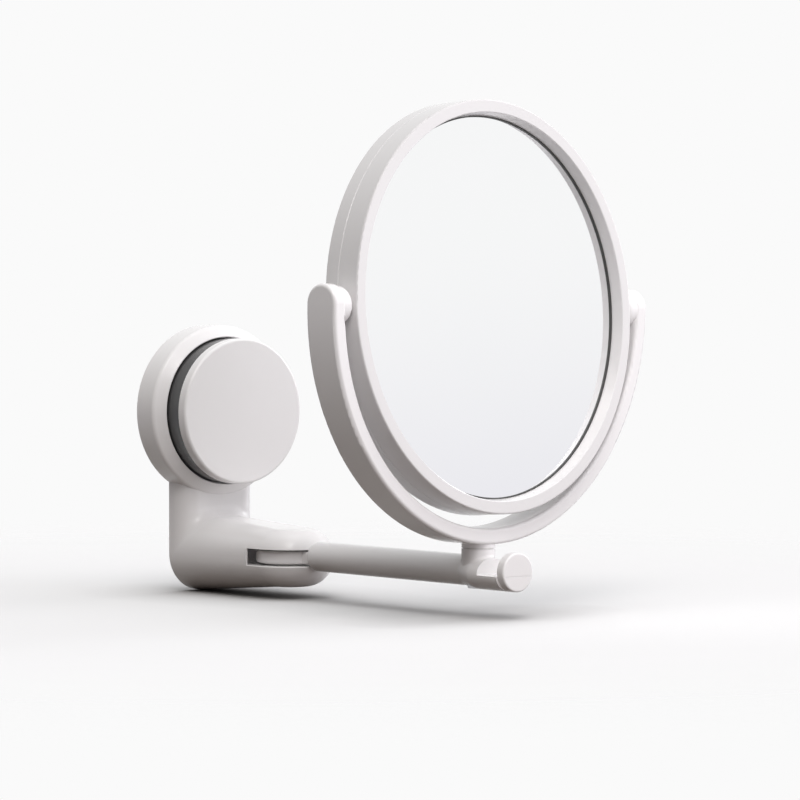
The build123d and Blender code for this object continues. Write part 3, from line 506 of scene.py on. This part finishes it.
def make_screw_tree():
    """
    Screws in a row along Y, each with its face in the plane Z = 0 and its shank towards +Z: a head,
    a cross recess, a core and a helical thread.
    """
    tree, sizes = new_tree(
        "screw",
        [
            "Face radius",
            "Seat radius",
            "Head height",
            "Thread radius",
            "Length",
            "Pitch",
            "Recess width",
            "Spacing",
            "Count",
        ],
    )
    head = add(
        tree,
        "GeometryNodeMeshCone",
        {
            "Vertices": head_facets,
            "Radius Bottom": sizes["Face radius"],
            "Radius Top": sizes["Seat radius"],
            "Depth": sizes["Head height"],
        },
    ).outputs["Mesh"]
    core_radius = maths(tree, "MULTIPLY", sizes["Thread radius"], core_share)
    core = add(
        tree,
        "GeometryNodeMeshCylinder",
        {"Vertices": core_facets, "Radius": core_radius, "Depth": sizes["Length"]},
    ).outputs["Mesh"]
    core = moved(tree, core, maths(tree, "MULTIPLY", sizes["Length"], 0.5))
    body = add(
        tree, "GeometryNodeMeshBoolean", {"Mesh 2": head}, operation="UNION", solver="EXACT"
    )
    tree.links.new(core, body.inputs["Mesh 2"])
    depth = maths(tree, "MULTIPLY", sizes["Head height"], recess_depth)
    reach = maths(tree, "MULTIPLY", sizes["Recess width"], recess_reach)
    cut = add(
        tree,
        "GeometryNodeMeshBoolean",
        {0: body.outputs["Mesh"]},
        operation="DIFFERENCE",
        solver="EXACT",
    )
    for x, y in ((reach, sizes["Recess width"]), (sizes["Recess width"], reach)):
        cube = add(tree, "GeometryNodeMeshCube", {"Size": point(tree, x, y, depth)})
        tree.links.new(cube.outputs["Mesh"], cut.inputs["Mesh 2"])
    ends = maths(tree, "MULTIPLY", sizes["Pitch"], 2 * thread_lead)
    ends = maths(tree, "ADD", sizes["Head height"], ends)
    run = maths(tree, "SUBTRACT", sizes["Length"], ends)
    helix = add(
        tree,
        "GeometryNodeCurveSpiral",
        {
            "Resolution": thread_steps,
            "Rotations": maths(tree, "DIVIDE", run, sizes["Pitch"]),
            "Start Radius": core_radius,
            "End Radius": core_radius,
            "Height": run,
        },
    ).outputs[0]
    ridge_radius = maths(tree, "MULTIPLY", sizes["Thread radius"], ridge_share)
    ridge = add(
        tree,
        "GeometryNodeCurvePrimitiveCircle",
        {"Resolution": ridge_facets, "Radius": ridge_radius},
    ).outputs["Curve"]
    thread = add(
        tree,
        "GeometryNodeCurveToMesh",
        {"Curve": helix, "Profile Curve": ridge, "Fill Caps": True},
    ).outputs[0]
    lead = maths(tree, "MULTIPLY", sizes["Pitch"], thread_lead)
    thread = moved(tree, thread, maths(tree, "ADD", sizes["Head height"], lead))
    screw = add(tree, "GeometryNodeJoinGeometry", {"Geometry": cut.outputs["Mesh"]})
    tree.links.new(thread, screw.inputs["Geometry"])
    row = add(
        tree,
        "GeometryNodeMeshLine",
        {"Count": sizes["Count"], "Offset": point(tree, y=sizes["Spacing"])},
    ).outputs[0]
    placed = add(
        tree,
        "GeometryNodeInstanceOnPoints",
        {"Points": row, "Instance": screw.outputs[0]},
    ).outputs[0]
    close_tree(tree, sizes, placed)
    return tree


def along(name, origin, direction):
    """How far the node reaches along a line through origin, and how far from that line."""
    spots = [vertex.co - origin for vertex in nodes[name].data.vertices]
    heights = [spot.dot(direction) for spot in spots]
    radii = [(spot - height * direction).length for spot, height in zip(spots, heights)]
    return min(heights), max(heights), max(radii)


def standing(across, axis, foot):
    """The matrix that turns X to across and Z to axis, and moves the origin to foot."""
    turn = Matrix((across, axis.cross(across), axis)).transposed().to_4x4()
    turn.translation = foot
    return turn


def head_lines():
    """The mirror head's centre, the line of its pivots, and the way that its plain glass faces."""
    joint = joints["mirror_tilt"]
    flat_face = max(nodes["plain_glass"].data.polygons, key=lambda face: face.area)
    normal = flat_face.normal.copy()
    if normal.y > 0:
        normal.negate()
    return Vector(joint["pos_m"]), Vector(joint["axis"]).normalized(), normal


def make_screws():
    """Real threads and cross recesses for the screws of the back cover and of the swivel."""
    tree = make_screw_tree()
    low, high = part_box("cover_screws")
    face_radius = (high.x - low.x) / 2
    foot = Vector((0, high.y, low.z + face_radius))
    screws = make_piece(
        "cover_screws_threaded",
        tree,
        finishes["steel"],
        {
            "Face radius": face_radius,
            "Seat radius": cover_shank_radius,
            "Head height": cover_head_height,
            "Thread radius": cover_thread_radius,
            "Length": high.y - low.y,
            "Pitch": thread_pitch,
            "Recess width": cover_recess_width,
            "Spacing": high.z - low.z - 2 * face_radius,
            "Count": 2,
        },
        standing(Vector((1, 0, 0)), Vector((0, -1, 0)), foot),
    )
    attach(screws, "base")
    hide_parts("cover_screws")

    joint = joints["head_swivel"]
    origin, axis = Vector(joint["pos_m"]), Vector(joint["axis"]).normalized()
    lowest, highest, radius = along("retainer_screw", origin, axis)
    across = axis.cross(Vector((0, 1, 0))).normalized()
    screw = make_piece(
        "retainer_screw_threaded",
        tree,
        finishes["steel"],
        {
            "Face radius": radius - retainer_face_inset,
            "Seat radius": radius,
            "Head height": retainer_head_height,
            "Thread radius": retainer_thread_radius,
            "Length": highest - lowest,
            "Pitch": thread_pitch,
            "Recess width": retainer_recess_width,
            "Spacing": 0.0,
            "Count": 1,
        },
        standing(across, axis, origin + lowest * axis),
    )
    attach(screw, "yoke")
    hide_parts("retainer_screw")


def make_magnifier_tree():
    """A round glass bent to part of a sphere, so that its lower face is hollow."""
    tree, sizes = new_tree("magnifier", ["Radius", "Thickness", "Sag"])
    disc = add(
        tree,
        "GeometryNodeMeshCylinder",
        {
            "Vertices": glass_facets,
            "Side Segments": 1,
            "Fill Segments": glass_rings,
            "Radius": sizes["Radius"],
            "Depth": sizes["Thickness"],
        },
        fill_type="TRIANGLE_FAN",
    ).outputs["Mesh"]
    # Radius of the sphere from the radius and the sag
    squared = maths(tree, "MULTIPLY", sizes["Radius"], sizes["Radius"])
    sphere = maths(
        tree,
        "DIVIDE",
        maths(tree, "ADD", squared, maths(tree, "MULTIPLY", sizes["Sag"], sizes["Sag"])),
        maths(tree, "MULTIPLY", sizes["Sag"], 2.0),
    )
    place = add(tree, "GeometryNodeInputPosition").outputs[0]
    flat = vectors(tree, "MULTIPLY", place, (1.0, 1.0, 0.0)).outputs[0]
    radius = vectors(tree, "LENGTH", flat).outputs["Value"]
    inside = maths(
        tree,
        "SUBTRACT",
        maths(tree, "MULTIPLY", sphere, sphere),
        maths(tree, "MULTIPLY", radius, radius),
    )
    drop = maths(tree, "SUBTRACT", maths(tree, "SQRT", inside), sphere)
    rise = maths(tree, "ADD", drop, sizes["Sag"])
    height = maths(tree, "ADD", rise, maths(tree, "MULTIPLY", sizes["Thickness"], 0.5))
    bent = add(
        tree, "GeometryNodeSetPosition", {"Geometry": disc, "Offset": point(tree, z=height)}
    ).outputs[0]
    close_tree(tree, sizes, bent)
    return tree


def make_magnifier():
    """The concave mirror at the back, on a mesh fine enough for a clean reflection."""
    centre, across, normal = head_lines()
    lowest, highest, radius = along("magnifying_glass", centre, normal)
    magnifier = make_piece(
        "magnifying_glass_curved",
        make_magnifier_tree(),
        finishes["mirror_glass"],
        {
            "Radius": radius,
            "Thickness": glass_thickness,
            "Sag": highest - lowest - glass_thickness,
        },
        standing(across, normal, centre + lowest * normal),
    )
    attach(magnifier, "mirror")
    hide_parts("magnifying_glass")


def make_shadow_ring_tree():
    """A ring with a square section that lies on the plane Z = 0."""
    tree, sizes = new_tree("seal", ["Radius", "Width", "Height"])
    path = add(
        tree,
        "GeometryNodeCurvePrimitiveCircle",
        {"Resolution": shadow_ring_steps, "Radius": sizes["Radius"]},
    ).outputs["Curve"]
    section = add(
        tree,
        "GeometryNodeCurvePrimitiveQuadrilateral",
        {"Width": sizes["Width"], "Height": sizes["Height"]},
    ).outputs[0]
    ring = add(
        tree, "GeometryNodeCurveToMesh", {"Curve": path, "Profile Curve": section}
    ).outputs[0]
    close_tree(tree, sizes, moved(tree, ring, maths(tree, "MULTIPLY", sizes["Height"], 0.5)))
    return tree


def make_shadow_ring():
    """A dark ring between the plain glass and the foot of the rim's lip, a painted shadow of the gap
    under the lip.
    """
    centre, across, normal = head_lines()
    glass_front = along("plain_glass", centre, normal)[1]
    seal = make_piece(
        "painted_shadow_ring",
        make_shadow_ring_tree(),
        finishes["shadow_ring_dark"],
        {"Radius": glass_opening - shadow_ring_inset, "Width": shadow_ring_width, "Height": shadow_ring_height},
        standing(across, normal, centre + (glass_front + shadow_ring_lift) * normal),
    )
    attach(seal, "mirror")


dress_nodes()
make_screws()
make_magnifier()
make_shadow_ring()
make_camera()
make_world()
make_floor()
bpy.context.scene.view_settings.view_transform = "Standard"
